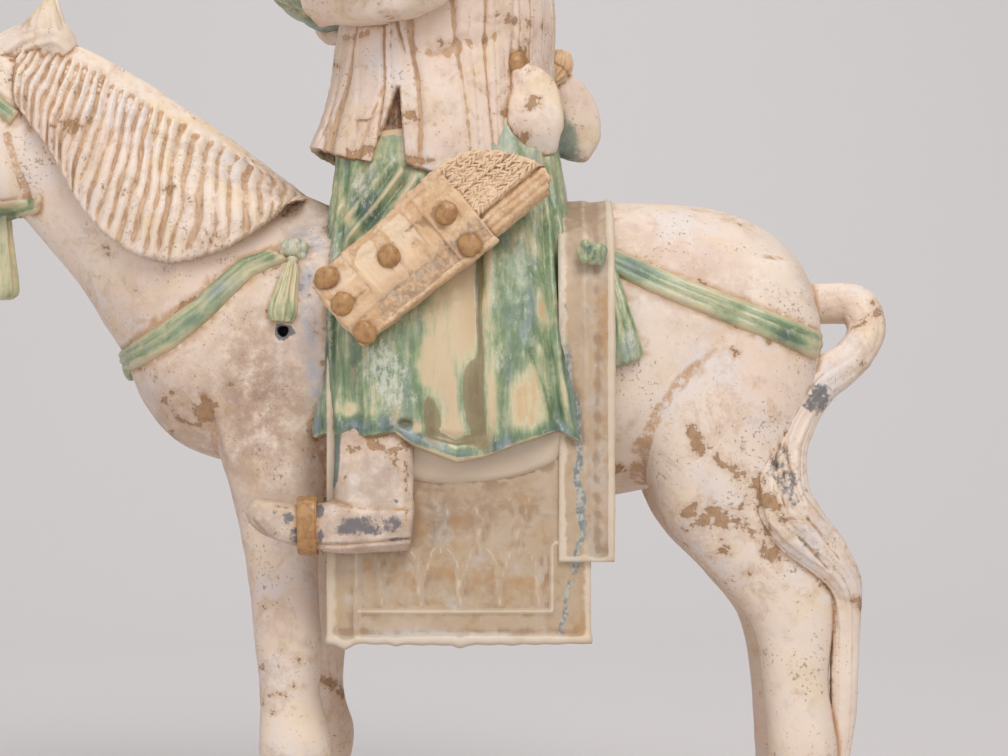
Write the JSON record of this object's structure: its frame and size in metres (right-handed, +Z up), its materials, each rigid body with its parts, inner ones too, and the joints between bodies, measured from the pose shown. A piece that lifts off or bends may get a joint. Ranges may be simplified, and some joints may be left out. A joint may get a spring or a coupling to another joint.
{
  "type": "chinese tomb horse with rider",
  "caption": "Earthenware tomb figure of a saddled standing horse with a mounted attendant, quiver at the thigh, on a low slab.",
  "frame": {"origin": "under the middle of the figure's box, on the underside of the slab", "axes": "+Z up, the horse looks towards -X and its left side, with the quiver, faces -Y"},
  "size_m": [0.3226, 0.1216, 0.3692],
  "materials": {
    "painted_clay": "cold cream-white slip over fired buff clay, matte, worn through in many small brown spots",
    "green_glaze": "streaked copper-green lead glaze, thin and pale on ridges, crazed, half dulled by burial",
    "amber_glaze": "honey-amber lead glaze on bosses, straps and cloth edges",
    "straw_glaze": "pale straw glaze with amber patches, crazed and partly worn away",
    "bare_clay": "unglazed buff-orange fired clay, matte and slightly gritty"
  },
  "bodies": {
    "root": {"horse_and_rider": "painted_clay"}
  },
  "joints": []
}
